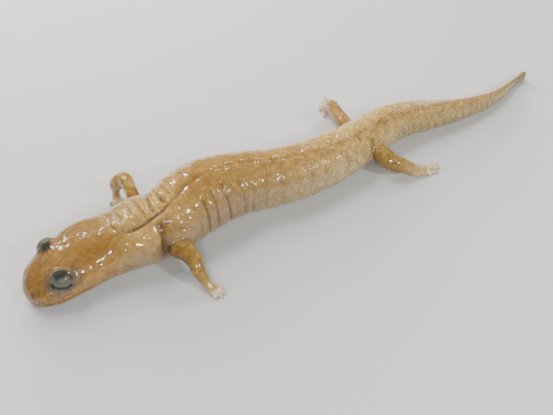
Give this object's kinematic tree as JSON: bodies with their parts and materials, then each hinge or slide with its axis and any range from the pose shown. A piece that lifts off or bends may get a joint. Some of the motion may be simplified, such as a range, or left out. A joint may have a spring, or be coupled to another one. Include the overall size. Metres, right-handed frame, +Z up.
{
  "type": "spring salamander",
  "caption": "Life-size still model of a spring salamander: stout body with costal grooves, blunt snout, short spread legs and a keeled tail, lying on its belly.",
  "frame": {"origin": "middle of the bounding box in X and Y, on the floor that the chin, belly, feet and tail rest on", "axes": "X along the body with the head at -X and the tail's end at +X; the animal's left side is at -Y; +Z up"},
  "size_m": [0.1511, 0.0476, 0.0151],
  "materials": {
    "skin": "wet",
    "leg_skin": "wet",
    "foot_skin": "wet",
    "eye": "glossy"
  },
  "bodies": {
    "root": {"head": "skin", "neck": "skin", "torso_front": "skin", "torso_middle": "skin", "torso_rear": "skin", "tail_base": "skin", "tail_middle": "skin", "tail_tip": "skin", "foreleg_left": "leg_skin", "foreleg_right": "leg_skin", "hindleg_left": "leg_skin", "hindleg_right": "leg_skin", "forefoot_left": "foot_skin", "forefoot_right": "foot_skin", "hindfoot_left": "foot_skin", "hindfoot_right": "foot_skin", "eye_left": "eye", "eye_right": "eye"}
  },
  "joints": []
}
